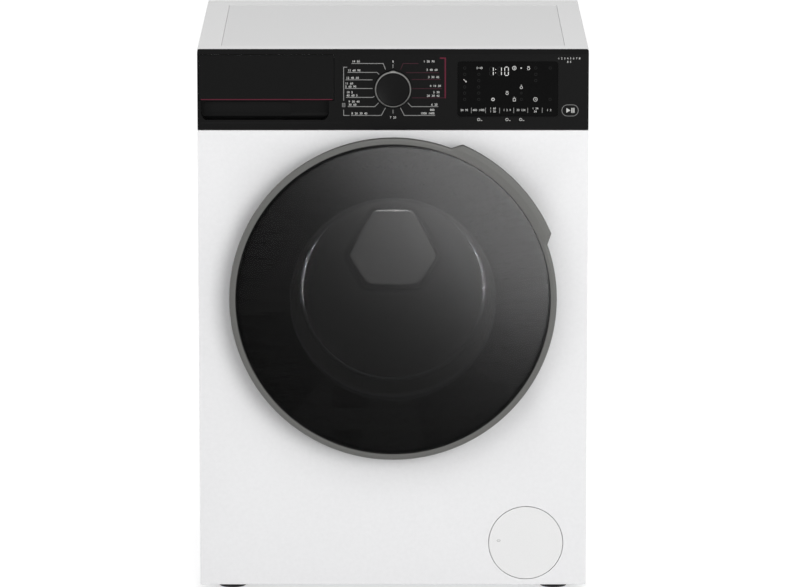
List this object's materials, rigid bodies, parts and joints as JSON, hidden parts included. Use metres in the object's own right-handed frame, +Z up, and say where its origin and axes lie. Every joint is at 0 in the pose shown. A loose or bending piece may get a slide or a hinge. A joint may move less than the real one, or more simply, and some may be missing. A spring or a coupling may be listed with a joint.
{
  "type": "washer dryer",
  "caption": "Front-loading washer dryer with a round tinted door, a perforated drum on a sprung tub, a detergent drawer, a programme knob and a display panel.",
  "frame": {"origin": "on the floor, under the middle of the machine's outer box", "axes": "+Z up; the door faces -Y; +X to the right as seen from the front"},
  "size_m": [0.598, 0.602, 0.85],
  "materials": {
    "white_steel": "white stoved enamel, satin gloss",
    "galvanised_steel": "galvanised sheet",
    "white_plastic": "moulded, satin",
    "white_board": "white laminate",
    "black_gloss_plastic": "moulded, polished black",
    "smoked_window": "smoked, polished",
    "circuit_board": "solder resist",
    "light_grey_plastic": "moulded",
    "blue_plastic": "moulded",
    "tub_plastic": "moulded, filled polypropylene",
    "dark_plastic": "moulded",
    "grey_ring": "painted grey, satin",
    "door_frame_plastic": "moulded, dark grey",
    "tinted_glass": "dark tint, polished",
    "bowl_glass": "pressed, polished",
    "hinge_steel": "plain steel",
    "stainless_steel": "drawn stainless sheet",
    "cast_aluminium": "die cast",
    "rubber": "moulded",
    "damper_plastic": "moulded",
    "concrete": "cast"
  },
  "bodies": {
    "cabinet": {"base_frame": "galvanised_steel", "left_side_panel": "white_steel", "right_side_panel": "white_steel", "front_panel": "white_steel", "rear_panel": "galvanised_steel", "rear_service_cover": "galvanised_steel", "top_braces": "galvanised_steel", "worktop_frame": "white_plastic", "worktop_board": "white_board", "control_fascia": "black_gloss_plastic", "display_window": "smoked_window", "control_board": "circuit_board", "dispenser_housing": "light_grey_plastic", "inlet_valve": "white_plastic", "dispenser_hose": "rubber", "door_hinge_bracket": "hinge_steel", "door_lock": "white_plastic", "door_gasket": "rubber", "filter_surround": "white_plastic", "pump_housing": "dark_plastic", "sump_hose": "rubber", "drain_pipe": "dark_plastic", "rear_grommets": "dark_plastic", "suspension_springs": "hinge_steel"},
    "drawer": {"drawer_front": "black_gloss_plastic", "drawer_tray": "light_grey_plastic", "siphon_cap": "blue_plastic"},
    "knob": {"programme_knob": "black_gloss_plastic"},
    "door": {"door_ring": "grey_ring", "door_glass": "tinted_glass", "door_inner_frame": "door_frame_plastic", "door_bowl": "bowl_glass", "door_hinge_leaf": "hinge_steel"},
    "latch": {"door_latch_hook": "hinge_steel"},
    "tub": {"tub_front_shell": "tub_plastic", "tub_rear_shell": "tub_plastic", "counterweights": "concrete", "tub_heater": "hinge_steel", "shaft_bearings": "hinge_steel", "motor_housing": "cast_aluminium", "drive_belt": "rubber", "drying_duct": "cast_aluminium", "fan_housing": "cast_aluminium"},
    "drum": {"drum_shell": "stainless_steel", "drum_lifters": "light_grey_plastic", "drum_spider": "cast_aluminium", "drum_pulley": "cast_aluminium"},
    "motor_rotor": {"motor_rotor": "hinge_steel"},
    "drying_fan": {"fan_impeller": "dark_plastic"},
    "pump_rotor": {"pump_impeller": "dark_plastic"},
    "filter": {"pump_filter": "blue_plastic"},
    "flap": {"filter_flap": "white_plastic"},
    "left_damper": {"left_damper_cylinder": "damper_plastic"},
    "left_damper_rod": {"left_damper_rod": "hinge_steel"},
    "right_damper": {"right_damper_cylinder": "damper_plastic"},
    "right_damper_rod": {"right_damper_rod": "hinge_steel"},
    "foot_front_left": {"foot_front_left": "rubber"},
    "foot_front_right": {"foot_front_right": "rubber"},
    "foot_rear_left": {"foot_rear_left": "rubber"},
    "foot_rear_right": {"foot_rear_right": "rubber"}
  },
  "joints": [
    {"name": "door_hinge", "type": "hinge", "parent": "cabinet", "child": "door", "pos_m": [-0.238, -0.282, 0.4687], "axis": [0, 0, -1], "range_deg": [0, 140]},
    {"name": "latch_pivot", "type": "hinge", "parent": "door", "child": "latch", "pos_m": [0.208, -0.275, 0.4687], "axis": [0, 0, -1], "range_deg": [0, 7], "stiffness_Nm_per_rad": 0.3, "springref_deg": -2.86},
    {"name": "drawer_slide", "type": "slide", "parent": "cabinet", "child": "drawer", "axis": [0, -1, 0], "range_m": [0, 0.2]},
    {"name": "knob_turn", "type": "hinge", "parent": "cabinet", "child": "knob", "pos_m": [0, -0.259, 0.7894], "axis": [0, 1, 0], "continuous": true},
    {"name": "flap_hinge", "type": "hinge", "parent": "cabinet", "child": "flap", "pos_m": [0.2698, -0.2558, 0.0783], "axis": [0, 0, 1], "range_deg": [0, 90]},
    {"name": "filter_turn", "type": "hinge", "parent": "cabinet", "child": "filter", "pos_m": [0.2058, -0.199, 0.0783], "axis": [0, -1, 0], "range_deg": [0, 180]},
    {"name": "tub_bounce", "type": "slide", "parent": "cabinet", "child": "tub", "axis": [0, 0, 1], "range_m": [-0.008, 0.008], "stiffness_N_per_m": 20000, "springref_m": 0.01595, "deforming": ["suspension_springs", "door_gasket", "dispenser_hose", "sump_hose"]},
    {"name": "drum_spin", "type": "hinge", "parent": "tub", "child": "drum", "pos_m": [0, 0.181, 0.4687], "axis": [0, 1, 0], "continuous": true},
    {"name": "motor_spin", "type": "hinge", "parent": "tub", "child": "motor_rotor", "pos_m": [-0.11, 0.181, 0.13001], "axis": [0, 1, 0], "continuous": true},
    {"name": "fan_spin", "type": "hinge", "parent": "tub", "child": "drying_fan", "pos_m": [0.195, 0.126, 0.74], "axis": [0, 0, 1], "continuous": true},
    {"name": "pump_spin", "type": "hinge", "parent": "cabinet", "child": "pump_rotor", "pos_m": [0.2058, -0.119, 0.0783], "axis": [0, 1, 0], "continuous": true},
    {"name": "left_damper_pivot", "type": "hinge", "parent": "cabinet", "child": "left_damper", "pos_m": [-0.215, 0.031, 0.048], "axis": [0, -1, 0], "range_deg": [-1.2, 1.2]},
    {"name": "left_damper_stroke", "type": "slide", "parent": "left_damper", "child": "left_damper_rod", "axis": [0.2747, 0, 0.9615], "range_m": [-0.01, 0.01]},
    {"name": "right_damper_pivot", "type": "hinge", "parent": "cabinet", "child": "right_damper", "pos_m": [0.215, 0.031, 0.048], "axis": [0, 1, 0], "range_deg": [-1.2, 1.2]},
    {"name": "right_damper_stroke", "type": "slide", "parent": "right_damper", "child": "right_damper_rod", "axis": [-0.2747, 0, 0.9615], "range_m": [-0.01, 0.01]},
    {"name": "foot_front_left_screw", "type": "slide", "parent": "cabinet", "child": "foot_front_left", "axis": [0, 0, -1], "range_m": [0, 0.012]},
    {"name": "foot_rear_left_screw", "type": "slide", "parent": "cabinet", "child": "foot_rear_left", "axis": [0, 0, -1], "range_m": [0, 0.012]},
    {"name": "foot_front_right_screw", "type": "slide", "parent": "cabinet", "child": "foot_front_right", "axis": [0, 0, -1], "range_m": [0, 0.012]},
    {"name": "foot_rear_right_screw", "type": "slide", "parent": "cabinet", "child": "foot_rear_right", "axis": [0, 0, -1], "range_m": [0, 0.012]}
  ],
  "couplings": [
    {"joint": "motor_spin", "follows": "drum_spin", "ratio": 14},
    {"joint": "left_damper_pivot", "follows": "tub_bounce", "rad_per_m": 1.5094},
    {"joint": "left_damper_stroke", "follows": "tub_bounce", "ratio": 0.96152},
    {"joint": "right_damper_pivot", "follows": "tub_bounce", "rad_per_m": 1.5094},
    {"joint": "right_damper_stroke", "follows": "tub_bounce", "ratio": 0.96152}
  ]
}
